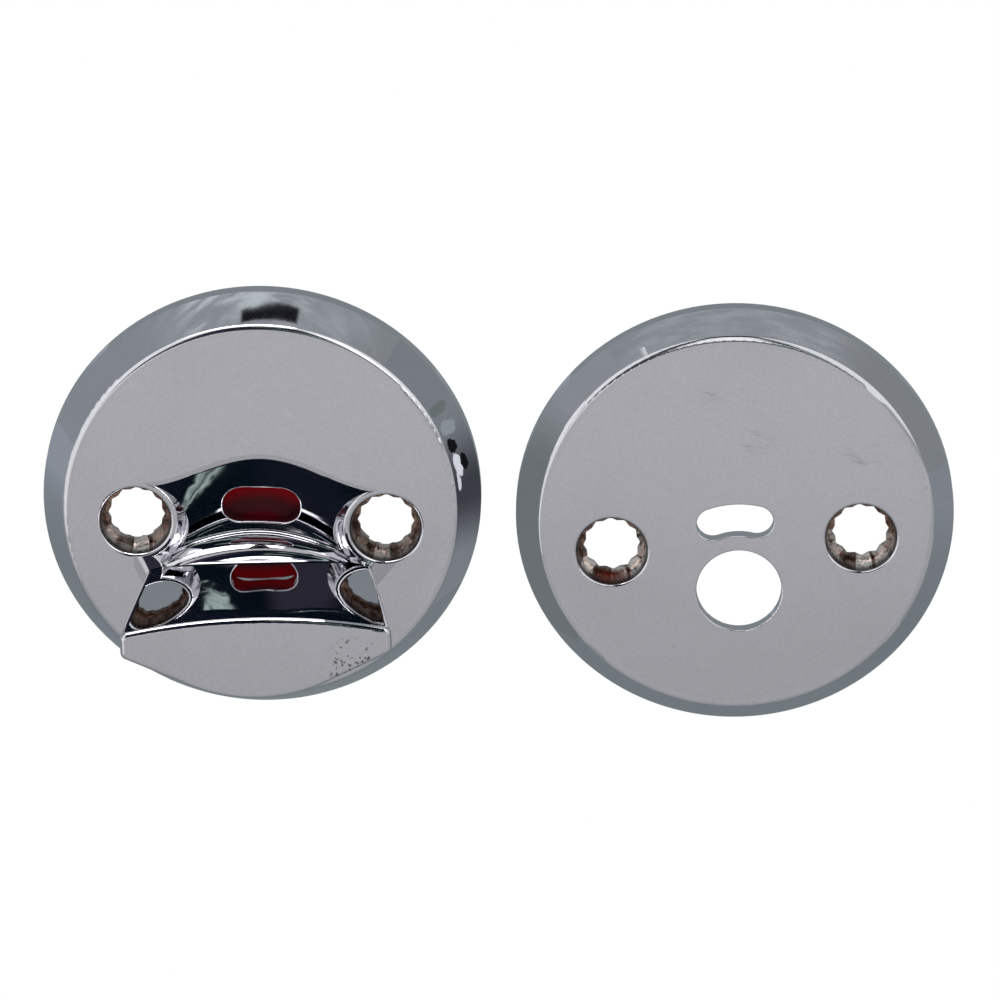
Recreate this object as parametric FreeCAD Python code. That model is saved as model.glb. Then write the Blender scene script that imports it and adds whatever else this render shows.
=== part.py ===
import FreeCAD, Part
import math
import os

V = FreeCAD.Vector

# Plan sizes are u to the right and v up the door, w is the height off the door face, all in mm.
# The spindle axis of each half is u = v = 0.

# Screw pattern shared by both halves
SCREW_SPACING = 38.0
SCREW_RISE = 7.5
INNER_RISE = 9.5
OUTER_RISE = 10.9

# Round bevelled shells
FACE_RADIUS = 29.95
BEVEL_RUN = 3.45
RIM_RADIUS = FACE_RADIUS + BEVEL_RUN
RIM_HEIGHT = 2.4
INNER_HEIGHT = 8.7
OUTER_HEIGHT = 6.4
FACE_WALL = 2.0
SIDE_WALL = 2.4
FACE_ROUND = 1.1
RIM_ROUND = 0.4

# Screw seats: round mouth, fluted funnel and a thin star web that grips a serrated sleeve
SEAT_RADIUS = 5.4
SEAT_FLOOR_RADIUS = 4.75
SEAT_DEPTH = 3.2
MOUTH_ROUND = 0.45
POST_WALL = 0.95
POST_DRAFT = 0.7
POST_ROUND = 0.4
EDGE_BREAK = 0.25
STAR_POINTS = 12
STAR_TIP = 4.4
STAR_ROOT = 4.0
STAR_WEB = 1.0
SLEEVE_RADIUS = 4.5
SLEEVE_RELIEF = 0.35

# Finger scoop between the posts of the inside half
SCOOP_TOP = 18.4
SCOOP_FOOT = 4.5
SCOOP_DEPTH = 5.05
SCOOP_SIDE_SHARE = 0.6
HILL_ROUND = 3.0
LEDGE_RADIUS = 34.0
LEDGE_ROUND = 3.4
LEDGE_DRAFT = 3.0
SCOOP_FOOT_ROUND = 0.5
NECK_U = 18.9
NECK_V = -1.5
NECK_RADIUS = 4.4
PAN_RADIUS = 16.5
PAN_RISE = 5.0
PAN_BOTTOM = 2.65

# Indicator window in the scoop
WINDOW_WIDTH = 11.8
WINDOW_LOW = 6.3
WINDOW_HIGH = 12.75
WINDOW_ROUND = 3.0
WINDOW_BREAK = 0.25

# Thumb turn
TURN_ANGLE = 3.2
TURN_GAP = 0.2
WING_HEIGHT = 18.8
WING_BASE_HALF = 17.2
WING_TOP_HALF = 20.6
WING_BASE_BOW = 70.0
WING_MIDDLE_BOW = 74.0
WING_TOP_BOW = 105.0
WING_SWELL = 0.4
WING_FRONT_TOP = -0.6
WING_LEAN = 9.5
TOE_FRONT = 3.85
TOE_RADIUS = 35.0
TOE_THICKNESS = 0.45
BACK_APEX_BASE = -9.6
BACK_APEX_TOP = -13.7
BACK_ROUND = 24.0
BACK_SLOPE = 25.4
WING_CORNER_ROUND = 1.2
WING_TOP_ROUND = 0.8
HUB_RADIUS = 3.7
HUB_CLEARANCE = 0.05
HUB_END = 0.2
HUB_FLAT = 3.1
SOCKET_LENGTH = 5.6
SOCKET_WIDTH = 2.5
SOCKET_DEPTH = 9.0

# Pieces on the back of the hub
STACK_GAP = 0.05
WASHER_THICKNESS = 0.5
WASHER_RADIUS = 5.6
DISC_THICKNESS = 1.0
DISC_RADIUS = 13.0
CLIP_THICKNESS = 0.6
CLIP_RADIUS = 6.0
CLIP_GROOVE = 3.1
CLIP_MOUTH = 4.4

# Outside half
OUTER_BORE_RADIUS = 6.5
KIDNEY_INNER = 9.0
KIDNEY_OUTER = 14.0
KIDNEY_WIDTH = 11.7
LAY_GAP = 6.3
OUTER_SHIFT_U = 2 * RIM_RADIUS + LAY_GAP
OUTER_SHIFT_V = -1.9
OUTER_ANGLE = 5.2

# Room for cutters to pass clean through a face
OVER = 1.0


def cylinder(u, v, radius, low, high):
    """A round post or drill between two heights."""
    return Part.makeCylinder(radius, high - low, V(u, v, low))


def cone(u, v, low_radius, high_radius, low, high):
    """A tapered post or reamer between two heights."""
    return Part.makeCone(low_radius, high_radius, high - low, V(u, v, low))


def closed_prism(points, low, high):
    """A straight-sided block over a plan of corner points."""
    corners = [V(u, v, low) for u, v in points]
    wire = Part.makePolygon(corners + corners[:1])
    return Part.Face(wire).extrude(V(0, 0, high - low))


def spun(profile):
    """A solid turned about the w axis from (radius, height) points."""
    corners = [V(r, 0, w) for r, w in profile]
    face = Part.Face(Part.makePolygon(corners + corners[:1]))
    return face.revolve(V(0, 0, 0), V(0, 0, 1), 360)


def edges_where(shape, test):
    """Edges whose every sample point passes the test."""
    found = []
    for edge in shape.Edges:
        if all(test(p) for p in edge.discretize(5)):
            found.append(edge)
    return found


def rosette_blank(height, rise):
    """The bevelled round body, still solid, with its rim and face edges rounded."""
    body = spun([(0, 0), (RIM_RADIUS, 0), (RIM_RADIUS, RIM_HEIGHT), (FACE_RADIUS, height), (0, height)])

    def face_edge(p):
        return abs(p.z - height) < 1e-4 and abs(math.hypot(p.x, p.y) - FACE_RADIUS) < 1e-3

    def rim_edge(p):
        return abs(p.z - RIM_HEIGHT) < 1e-4 and abs(math.hypot(p.x, p.y) - RIM_RADIUS) < 1e-3

    body = body.makeFillet(FACE_ROUND, edges_where(body, face_edge))
    body = body.makeFillet(RIM_ROUND, edges_where(body, rim_edge))
    body.translate(V(0, rise, 0))
    return body


def rosette_cavity(height, rise):
    """The hollow of the casting, open at the back."""
    ceiling = height - FACE_WALL
    slope = BEVEL_RUN / (height - RIM_HEIGHT)
    low = RIM_RADIUS - SIDE_WALL
    high = low - slope * (ceiling - RIM_HEIGHT)
    hollow = spun([(0, -OVER), (low, -OVER), (low, RIM_HEIGHT), (high, ceiling), (0, ceiling)])
    hollow.translate(V(0, rise, 0))
    return hollow


def screw_places():
    """Plan places of the two screw axes."""
    return [(-SCREW_SPACING / 2, SCREW_RISE), (SCREW_SPACING / 2, SCREW_RISE)]


def star_points(u, v):
    """Corners of the star hole, tips outward."""
    points = []
    for i in range(2 * STAR_POINTS):
        radius = STAR_TIP if i % 2 == 0 else STAR_ROOT
        angle = math.pi * i / STAR_POINTS + math.pi / 2
        points.append((u + radius * math.cos(angle), v + radius * math.sin(angle)))
    return points


def fluted_funnel(u, v, low, high):
    """A cutter that blends the round mouth of a seat into the star."""
    count = 2 * STAR_POINTS
    wires = []
    for w, share in ((low, 1.0), (high, 0.0)):
        ring = []
        for i in range(count):
            bump = (STAR_TIP - STAR_ROOT) / 2 * (1 if i % 2 == 0 else -1) * share
            radius = (SEAT_FLOOR_RADIUS if share else SEAT_RADIUS) + bump
            angle = math.pi * i / STAR_POINTS + math.pi / 2
            ring.append(V(u + radius * math.cos(angle), v + radius * math.sin(angle), w))
        wires.append(Part.makePolygon(ring + ring[:1]))
    return Part.makeLoft(wires, True, True)


def round_topped(post):
    """A tapered post with its top edge rounded."""
    top = post.BoundBox.ZMax
    return post.makeFillet(POST_ROUND, edges_where(post, lambda p: abs(p.z - top) < 1e-6))


def screw_post(u, v, height):
    """The drafted boss round one screw seat."""
    low = height - SEAT_DEPTH - STAR_WEB - SLEEVE_RELIEF
    top = SEAT_RADIUS + POST_WALL
    return round_topped(cone(u, v, top + POST_DRAFT * (height - low), top, low, height))


def seat_mouth(u, v, height):
    """A trumpet-shaped cutter that rounds the mouth of a seat."""
    wide = SEAT_RADIUS + MOUTH_ROUND
    low = height - MOUTH_ROUND
    turn = MOUTH_ROUND * math.sqrt(0.5)
    start, end = V(SEAT_RADIUS, 0, low), V(wide, 0, height)
    arc = Part.Arc(start, V(wide - turn, 0, low + turn), end).toShape()
    corners = [end, V(wide, 0, height + OVER), V(0, 0, height + OVER), V(0, 0, low), start]
    rest = [Part.makeLine(a, b) for a, b in zip(corners, corners[1:])]
    mouth = Part.Face(Part.Wire([arc] + rest)).revolve(V(0, 0, 0), V(0, 0, 1), 360)
    mouth.translate(V(u, v, 0))
    return mouth


def screw_seat(u, v, height):
    """Everything cut away for one screw: funnel, star hole and the round relief behind it."""
    floor = height - SEAT_DEPTH
    web = floor - STAR_WEB
    cut = cone(u, v, SEAT_FLOOR_RADIUS, SEAT_RADIUS, floor, height)
    cut = cut.fuse(seat_mouth(u, v, height))
    cut = cut.fuse(fluted_funnel(u, v, floor, height))
    cut = cut.fuse(closed_prism(star_points(u, v), web, floor))
    return cut.fuse(cylinder(u, v, SLEEVE_RADIUS, -OVER, web))


def ledge_block():
    """The solid below the scoop: a wide drafted round block whose upper edge is well rounded."""
    face = INNER_HEIGHT
    draft = math.radians(LEDGE_DRAFT)
    turn = (math.pi / 2 + draft) / 2
    lost = (SCOOP_DEPTH - LEDGE_ROUND + LEDGE_ROUND * math.sin(draft)) * math.tan(draft)
    inside = LEDGE_RADIUS - lost - LEDGE_ROUND * math.cos(draft)

    def on_round(angle):
        return V(inside + LEDGE_ROUND * math.cos(angle), 0, face - LEDGE_ROUND + LEDGE_ROUND * math.sin(angle))

    deep = face - 2 * SCOOP_DEPTH
    foot = V(LEDGE_RADIUS + SCOOP_DEPTH * math.tan(draft), 0, deep)
    edge, above = on_round(math.pi / 2), V(inside, 0, face + 2 * OVER)
    low, high = V(0, 0, deep), V(0, 0, face + 2 * OVER)
    line = Part.makeLine
    arc = Part.Arc(on_round(draft), on_round(turn), edge).toShape()
    wall = line(foot, on_round(draft))
    loop = Part.Wire([line(low, foot), wall, arc, line(edge, above), line(above, high), line(high, low)])
    block = Part.Face(loop).revolve(V(0, 0, 0), V(0, 0, 1), 360)
    block.translate(V(0, SCOOP_FOOT - LEDGE_RADIUS, 0))
    return block


def hill(u):
    """Upper edge of the scoop on the face: a bell that runs out over the screw posts."""
    low = SCREW_RISE + SEAT_RADIUS + POST_WALL / 2
    return low + (SCOOP_TOP - low) * (1 + math.cos(2 * math.pi * u / SCREW_SPACING)) / 2


def scoop_floor(u, v):
    """Height of the scoop's slope at a plan place: steep in the middle, shallower by the posts."""
    swell = (1 + math.cos(2 * math.pi * u / SCREW_SPACING)) / 2
    fall = SCOOP_DEPTH / (SCOOP_TOP - SCOOP_FOOT) * (SCOOP_SIDE_SHARE + (1 - SCOOP_SIDE_SHARE) * swell)
    return INNER_HEIGHT - (hill(u) - v) * fall


def scoop_section(v, top):
    """Outline of the scoop cutter across, at one place up the door."""
    half = SCREW_SPACING / 2
    places = [half * (i / 8 - 1) for i in range(17)]
    curve = Part.BSplineCurve()
    curve.interpolate(Points=[V(u, v, scoop_floor(u, v)) for u in places], Parameters=places)
    corners = [curve.EndPoint, V(half, v, top), V(-half, v, top), curve.StartPoint]
    return Part.Wire([curve.toShape()] + [Part.makeLine(a, b) for a, b in zip(corners, corners[1:])])


def scoop_cutter():
    """The finger scoop: a slope that runs down from the bell-shaped hill to the ledge."""
    top = INNER_HEIGHT + SCOOP_TOP
    sections = [scoop_section(-SCOOP_TOP / 2, top), scoop_section(1.5 * SCOOP_TOP, top)]
    return Part.makeLoft(sections, True, True).cut(ledge_block())


def foot_edge(shape):
    """The bottom edge of the ledge wall, where it meets the slope."""
    draft = math.tan(math.radians(LEDGE_DRAFT))

    def on_foot(p):
        wall = LEDGE_RADIUS - (p.z - INNER_HEIGHT + SCOOP_DEPTH) * draft
        off = math.hypot(p.x, p.y - SCOOP_FOOT + LEDGE_RADIUS) - wall
        return abs(off) < 0.02 and abs(p.z - scoop_floor(p.x, p.y)) < 0.02

    return [e for e in edges_where(shape, on_foot) if e.Length > SCOOP_TOP / 2]


def hill_edge(shape):
    """The bell-shaped edge where the slope leaves the face."""

    def on_hill(p):
        return abs(p.z - INNER_HEIGHT) < 1e-4 and abs(p.y - hill(p.x)) < 0.02

    return edges_where(shape, on_hill)


def scoop_neck(u, v, height):
    """The drafted fill that closes the end of the scoop below one screw post."""
    low = height - SCOOP_DEPTH
    return round_topped(cone(u, v, NECK_RADIUS + POST_DRAFT * SCOOP_DEPTH, NECK_RADIUS, low, height))


def round_rect(width, low, high, corner, bottom, top):
    """A rounded rectangular cutter, centred across."""
    box = Part.makeBox(width, high - low, top - bottom, V(-width / 2, low, bottom))
    upright = [e for e in box.Edges if abs(e.Vertexes[0].Z - e.Vertexes[-1].Z) > OVER]
    return box.makeFillet(corner, upright)


def window_edge(shape):
    """The outline of the window on the scoop's slope."""

    def on_outline(p):
        inside = abs(p.x) < WINDOW_WIDTH / 2 + 1e-3 and WINDOW_LOW - 1e-3 < p.y < WINDOW_HIGH + 1e-3
        return inside and abs(p.z - scoop_floor(p.x, p.y)) < SCOOP_FOOT_ROUND / 2

    return edges_where(shape, on_outline)


def inner_rosette():
    """The inside half: shell, finger scoop, screw posts, indicator window and hub bearing."""
    face = INNER_HEIGHT
    body = rosette_blank(face, INNER_RISE)
    pan = cylinder(0, PAN_RISE, PAN_RADIUS, PAN_BOTTOM, face)
    body = body.cut(rosette_cavity(face, INNER_RISE).cut(pan))
    body = body.cut(scoop_cutter())
    body = body.makeFillet(SCOOP_FOOT_ROUND, foot_edge(body))
    body = body.makeFillet(HILL_ROUND, hill_edge(body))
    for u, v in screw_places():
        neck = scoop_neck(math.copysign(NECK_U, u), NECK_V, face)
        body = body.fuse(screw_post(u, v, face).fuse(neck))
    body = body.removeSplitter()
    for u, v in screw_places():
        body = body.cut(screw_seat(u, v, face))
    body = body.cut(round_rect(WINDOW_WIDTH, WINDOW_LOW, WINDOW_HIGH, WINDOW_ROUND, 0, face + OVER))
    body = body.makeFillet(WINDOW_BREAK, window_edge(body))
    body = body.cut(cylinder(0, 0, HUB_RADIUS + HUB_CLEARANCE, -OVER, face + OVER))
    return body


def kidney_slot(low, high):
    """The curved indicator slot of the outside half, round the spindle axis."""
    middle = (KIDNEY_INNER + KIDNEY_OUTER) / 2
    end = (KIDNEY_OUTER - KIDNEY_INNER) / 2
    swing = math.asin((KIDNEY_WIDTH / 2 - end) / middle)
    ring = cylinder(0, 0, KIDNEY_OUTER, low, high).cut(cylinder(0, 0, KIDNEY_INNER, low - OVER, high + OVER))
    reach = 3 * KIDNEY_OUTER
    left = (-reach * math.sin(swing), reach * math.cos(swing))
    right = (reach * math.sin(swing), reach * math.cos(swing))
    slot = ring.common(closed_prism([(0, 0), right, left], low, high))
    for side in (-1, 1):
        slot = slot.fuse(cylinder(side * middle * math.sin(swing), middle * math.cos(swing), end, low, high))
    return slot.removeSplitter()


def outer_rosette():
    """The outside half: shell, screw posts, indicator slot and the emergency spindle bore."""
    face = OUTER_HEIGHT
    body = rosette_blank(face, OUTER_RISE).cut(rosette_cavity(face, OUTER_RISE))
    for u, v in screw_places():
        body = body.fuse(screw_post(u, v, face))
    for u, v in screw_places():
        body = body.cut(screw_seat(u, v, face))
    body = body.cut(kidney_slot(-OVER, face + OVER))
    body = body.cut(cylinder(0, 0, OUTER_BORE_RADIUS, -OVER, face + OVER))

    def opening_edge(p):
        return abs(p.z - face) < 1e-4 and math.hypot(p.x, p.y) < KIDNEY_OUTER + OVER

    body = body.makeFillet(EDGE_BREAK, edges_where(body, opening_edge))
    body.rotate(V(0, 0, 0), V(0, 0, 1), OUTER_ANGLE)
    body.translate(V(OUTER_SHIFT_U, OUTER_SHIFT_V, 0))
    return body


def wing_plan(half, apex, w):
    """Plan of the wing behind its front face: blunt ends and a V back with a round nose."""
    slope = math.radians(BACK_SLOPE)
    touch = BACK_ROUND * math.sin(slope)
    lift = apex + BACK_ROUND * (1 - math.cos(slope))
    corner = lift + (half - touch) * math.tan(slope)
    front = TOE_FRONT + 2 * OVER
    a, b = V(-half, front, w), V(-half, corner, w)
    c, d = V(-touch, lift, w), V(touch, lift, w)
    e, f = V(half, corner, w), V(half, front, w)
    nose = Part.Arc(c, V(0, apex, w), d).toShape()
    line = Part.makeLine
    return Part.Wire([line(a, b), line(b, c), nose, line(d, e), line(e, f), line(f, a)])


def front_at(w):
    """How far forward the mirror face of the wing stands at a height, on its middle line."""
    top = INNER_HEIGHT + WING_HEIGHT
    return WING_FRONT_TOP + (top - w) * math.tan(math.radians(WING_LEAN))


def bowed_plan(front, radius, w):
    """Plan of the block behind the mirror face: a bowed front and a square back."""
    half = 1.2 * WING_TOP_HALF
    drop = radius - math.sqrt(radius * radius - half * half)
    back = BACK_APEX_TOP - 4 * OVER
    left, right = V(-half, front - drop, w), V(half, front - drop, w)
    bow = Part.Arc(left, V(0, front, w), right).toShape()
    corners = [right, V(half, back, w), V(-half, back, w), left]
    return Part.Wire([bow] + [Part.makeLine(a, b) for a, b in zip(corners, corners[1:])])


def wing_front(low, high):
    """The block behind the leaning mirror face, which swells a little and is most bowed at its base."""
    middle = (low + high) / 2
    base = bowed_plan(front_at(low), WING_BASE_BOW, low)
    swollen = bowed_plan(front_at(middle) + WING_SWELL, WING_MIDDLE_BOW, middle)
    return Part.makeLoft([base, swollen, bowed_plan(WING_FRONT_TOP, WING_TOP_BOW, high)], True, False)


def wing_toe(low):
    """The thin toe in front of the wing, on the arc of the ledge, with a cove up to the mirror face."""
    lean = math.radians(WING_LEAN)
    toe_top = low + TOE_THICKNESS
    cove = (TOE_FRONT - front_at(toe_top)) / (math.cos(lean) - (1 - math.sin(lean)) * math.tan(lean))
    middle = V(0, TOE_FRONT, toe_top + cove)

    def on_cove(angle):
        return middle + V(0, -math.sin(angle), -math.cos(angle)) * cove

    end = on_cove(math.pi / 2 - lean)
    arc = Part.Arc(on_cove(0), on_cove(math.pi / 4 - lean / 2), end).toShape()
    toe, back, heel = V(0, TOE_FRONT, low), V(0, BACK_APEX_BASE / 2, end.z), V(0, BACK_APEX_BASE / 2, low)
    line = Part.makeLine
    profile = Part.Face(Part.Wire([line(toe, on_cove(0)), arc, line(end, back), line(back, heel), line(heel, toe)]))
    axis = V(0, TOE_FRONT - TOE_RADIUS, 0)
    spread = 2 * math.degrees(math.asin(WING_BASE_HALF / TOE_RADIUS))
    profile.rotate(axis, V(0, 0, 1), -spread / 2)
    return profile.revolve(axis, V(0, 0, 1), spread)


def wing():
    """The solid wing of the thumb turn, its ends and top edges rounded."""
    low = INNER_HEIGHT + TURN_GAP
    high = INNER_HEIGHT + WING_HEIGHT
    plans = [wing_plan(WING_BASE_HALF, BACK_APEX_BASE, low), wing_plan(WING_TOP_HALF, BACK_APEX_TOP, high)]
    plan = Part.makeLoft(plans, True, True)
    body = plan.common(wing_front(low, high)).removeSplitter()

    def end_corner(p):
        share = (p.z - low) / (high - low)
        half = WING_BASE_HALF + share * (WING_TOP_HALF - WING_BASE_HALF)
        return abs(abs(p.x) - half) < 1e-3

    corners = [e for e in edges_where(body, end_corner) if e.Length > WING_HEIGHT / 2]
    body = body.makeFillet(WING_CORNER_ROUND, corners)
    top_edges = edges_where(body, lambda p: abs(p.z - high) < 1e-4)
    body = body.makeFillet(WING_TOP_ROUND, top_edges)
    return body.fuse(plan.common(wing_toe(low))).removeSplitter()


def stack_heights():
    """Heights of the pieces behind the bearing, from the bearing down: washer, disc and clip."""
    washer = PAN_BOTTOM - STACK_GAP
    disc = washer - WASHER_THICKNESS - STACK_GAP
    clip = disc - DISC_THICKNESS - STACK_GAP
    return washer, disc, clip


def flatted(radius, flat, low, high):
    """A round bar with two flats that key the disc to the hub."""
    box = Part.makeBox(2 * radius, 2 * flat, high - low, V(-radius, -flat, low))
    return cylinder(0, 0, radius, low, high).common(box)


def thumb_turn():
    """The turning grip: wing, hub with keyed end and clip groove, and a slot for a flat tail bar."""
    washer, disc, clip = stack_heights()
    root = INNER_HEIGHT + TURN_GAP
    body = wing().fuse(cylinder(0, 0, HUB_RADIUS, disc + STACK_GAP, root))
    body = body.fuse(flatted(HUB_RADIUS, HUB_FLAT, HUB_END, disc + STACK_GAP))
    ring = cylinder(0, 0, 2 * HUB_RADIUS, clip - CLIP_THICKNESS - STACK_GAP, clip + STACK_GAP / 2)
    body = body.cut(ring.cut(cylinder(0, 0, CLIP_GROOVE - STACK_GAP, 0, disc)))
    slot = Part.makeBox(SOCKET_LENGTH, SOCKET_WIDTH, SOCKET_DEPTH + OVER, V(-SOCKET_LENGTH / 2, -SOCKET_WIDTH / 2, -OVER))
    body = body.cut(slot).removeSplitter()
    body.rotate(V(0, 0, 0), V(0, 0, 1), TURN_ANGLE)
    return body


def friction_washer():
    """The thin washer that lets the turn stay where it is put."""
    top = stack_heights()[0]
    low = top - WASHER_THICKNESS
    hole = cylinder(0, 0, HUB_RADIUS + 2 * HUB_CLEARANCE, low - OVER, top + OVER)
    return cylinder(0, 0, WASHER_RADIUS, low, top).cut(hole)


def indicator_disc():
    """The coloured disc behind the window, keyed to the hub."""
    top = stack_heights()[1]
    low = top - DISC_THICKNESS
    hole = flatted(HUB_RADIUS + HUB_CLEARANCE, HUB_FLAT + HUB_CLEARANCE, low - OVER, top + OVER)
    body = cylinder(0, 0, DISC_RADIUS, low, top).cut(hole)
    body.rotate(V(0, 0, 0), V(0, 0, 1), TURN_ANGLE)
    return body


def retaining_clip():
    """The open spring clip in the hub groove that holds the stack."""
    top = stack_heights()[2]
    low = top - CLIP_THICKNESS
    ring = cylinder(0, 0, CLIP_RADIUS, low, top).cut(cylinder(0, 0, CLIP_GROOVE, low - OVER, top + OVER))
    mouth = Part.makeBox(CLIP_MOUTH, 2 * CLIP_RADIUS, CLIP_THICKNESS + 2 * OVER, V(-CLIP_MOUTH / 2, 0, low - OVER))
    body = ring.cut(mouth)
    body.rotate(V(0, 0, 0), V(0, 0, 1), TURN_ANGLE)
    return body


def stand_up(shape):
    """Turn a half from lying on its back to standing as on a door, its face toward -Y."""
    shape.rotate(V(0, 0, 0), V(1, 0, 0), 90)
    return shape


def main():
    """Build every piece and write one file for each."""
    os.makedirs("parts", exist_ok=True)
    makers = {
        "inner_rosette": inner_rosette,
        "thumb_turn": thumb_turn,
        "friction_washer": friction_washer,
        "indicator_disc": indicator_disc,
        "retaining_clip": retaining_clip,
        "outer_rosette": outer_rosette,
    }
    for name, make in makers.items():
        shape = stand_up(make())
        shape.exportStep("parts/" + name + ".step")
        print(name, shape.isValid(), len(shape.Solids), round(shape.Volume, 1), shape.BoundBox)


main()
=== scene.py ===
"""Bathroom thumb turn lock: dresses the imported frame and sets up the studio."""

import logging
import math
from dataclasses import dataclass
from enum import Enum

import bpy
from mathutils import Matrix, Vector

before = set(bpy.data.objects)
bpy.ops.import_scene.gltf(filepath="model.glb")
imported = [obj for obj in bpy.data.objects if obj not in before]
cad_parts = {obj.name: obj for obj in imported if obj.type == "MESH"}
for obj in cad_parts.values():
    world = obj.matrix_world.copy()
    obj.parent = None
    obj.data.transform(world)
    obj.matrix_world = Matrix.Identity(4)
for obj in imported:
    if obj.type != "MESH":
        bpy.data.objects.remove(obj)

LOG = logging.getLogger("thumb_turn_lock")
MM = 0.001
Socket = bpy.types.NodeSocket
Band = tuple[float, float]
Plan = tuple[float, float]
Place = tuple[float, float, float]
Colour = tuple[float, float, float, float]


class Node(Enum):
    """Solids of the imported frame."""

    INNER_ROSETTE = "inner_rosette"
    OUTER_ROSETTE = "outer_rosette"
    THUMB_TURN = "thumb_turn"
    INDICATOR_DISC = "indicator_disc"
    FRICTION_WASHER = "friction_washer"
    RETAINING_CLIP = "retaining_clip"


class NodeSketch:
    """Short calls for laying out shader nodes in one tree."""

    def __init__(self, tree: bpy.types.NodeTree) -> None:
        """Start from an empty tree.

        Args:
            tree: the material's or world's node tree.
        """
        self.tree = tree
        tree.nodes.clear()

    def node(self, kind: str, **settings: object) -> bpy.types.Node:
        """Add one node.

        Args:
            kind: Blender's node type name.
            settings: attributes set on the node.

        Returns:
            The new node.
        """
        made = self.tree.nodes.new(kind)
        for key, value in settings.items():
            setattr(made, key, value)
        return made

    def feed(self, socket: Socket, value: object) -> None:
        """Link a socket, or set its own value.

        Args:
            socket: the input to feed.
            value: another socket, a number or a colour.
        """
        if isinstance(value, bpy.types.NodeSocket):
            self.tree.links.new(value, socket)
        else:
            socket.default_value = value

    def math(self, kind: str, first: object, second: object = 0.0, third: object = 0.0) -> Socket:
        """A maths node.

        Args:
            kind: its operation.
            first: first input.
            second: second input.
            third: third input, where the operation has one.

        Returns:
            Its result.
        """
        made = self.node("ShaderNodeMath", operation=kind)
        for socket, value in zip(made.inputs, (first, second, third)):
            self.feed(socket, value)
        return made.outputs[0]

    def vector(self, kind: str, first: object, second: object) -> bpy.types.Node:
        """A vector maths node.

        Args:
            kind: its operation.
            first: first input.
            second: second input.

        Returns:
            The node, for its vector or value output.
        """
        made = self.node("ShaderNodeVectorMath", operation=kind)
        self.feed(made.inputs[0], first)
        self.feed(made.inputs[1], second)
        return made

    def ramp(self, value: object, low: float, high: float,
             start: float = 0.0, end: float = 1.0) -> Socket:
        """A smooth step between two values.

        Args:
            value: what is measured.
            low: where the step starts.
            high: where it ends.
            start: result below low.
            end: result above high.

        Returns:
            The stepped value.
        """
        made = self.node("ShaderNodeMapRange", interpolation_type="SMOOTHSTEP")
        for socket, item in zip(made.inputs, (value, low, high, start, end)):
            self.feed(socket, item)
        return made.outputs[0]

    def rise(self, value: object, band: Band) -> Socket:
        """A smooth step from 0 to 1 across a band."""
        return self.ramp(value, *band)

    def fall(self, value: object, band: Band) -> Socket:
        """A smooth step from 1 to 0 across a band."""
        return self.ramp(value, *band, 1.0, 0.0)

    def product(self, first: object, *others: object) -> Socket:
        """Multiply several values.

        Args:
            first: the first value.
            others: the values it is multiplied by.

        Returns:
            The product.
        """
        for other in others:
            first = self.math("MULTIPLY", first, other)
        return first

    def size(self, value: object) -> Socket:
        """A value without its sign."""
        return self.math("ABSOLUTE", value)

    def parts(self, where: object) -> tuple[Socket, Socket, Socket]:
        """Split a vector into x, y and z.

        Args:
            where: the vector.

        Returns:
            Its three parts.
        """
        split = self.node("ShaderNodeSeparateXYZ")
        self.feed(split.inputs[0], where)
        return tuple(split.outputs)

    def bump(self, strength: float, distance: float, height: Socket) -> bpy.types.Node:
        """A bump node.

        Args:
            strength: its share.
            distance: how tall a height of 1 is, in metres.
            height: the height at each place.

        Returns:
            The node, so that another bump can lie under it.
        """
        made = self.node("ShaderNodeBump")
        for key, value in (("Strength", strength), ("Distance", distance), ("Height", height)):
            self.feed(made.inputs[key], value)
        return made

    def glow(self, output: str, shader: str, colour: Socket) -> None:
        """End the tree in a surface that shines with a colour.

        Args:
            output: Blender's name of the output node.
            shader: Blender's name of the shining node.
            colour: the colour.
        """
        made = self.node(shader)
        self.feed(made.inputs["Color"], colour)
        self.feed(self.node(output).inputs["Surface"], made.outputs[0])

    def noise(self, where: object, scale: float, detail: float = 3.0, rough: float = 0.5) -> Socket:
        """Cloudy noise between 0 and 1.

        Args:
            where: coordinates.
            scale: features per metre.
            detail: octaves.
            rough: weight of the fine octaves.

        Returns:
            The noise value.
        """
        made = self.node("ShaderNodeTexNoise")
        self.feed(made.inputs["Vector"], where)
        self.feed(made.inputs["Scale"], scale)
        self.feed(made.inputs["Detail"], detail)
        self.feed(made.inputs["Roughness"], rough)
        return made.outputs["Fac"]

    def colour(self, share: object, first: object, second: object) -> Socket:
        """Mix two colours.

        Args:
            share: how much of the second.
            first: first colour.
            second: second colour.

        Returns:
            The mixed colour.
        """
        made = self.node("ShaderNodeMix", data_type="RGBA")
        self.feed(made.inputs["Factor"], share)
        self.feed(made.inputs[6], first)
        self.feed(made.inputs[7], second)
        return made.outputs[2]

    def spot(self, where: Socket, centre: Plan, inner: float, outer: float) -> Socket:
        """A round soft spot about an axis that runs along Y.

        Args:
            where: object coordinates.
            centre: x and z of the axis, in millimetres.
            inner: radius of the full spot, in millimetres.
            outer: radius where it has faded, in millimetres.

        Returns:
            1 inside, 0 outside.
        """
        flat = self.vector("MULTIPLY", where, (1.0, 0.0, 1.0)).outputs["Vector"]
        away = self.vector("DISTANCE", flat, (centre[0] * MM, 0.0, centre[1] * MM)).outputs["Value"]
        return self.ramp(away, inner * MM, outer * MM, 1.0, 0.0)


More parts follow.
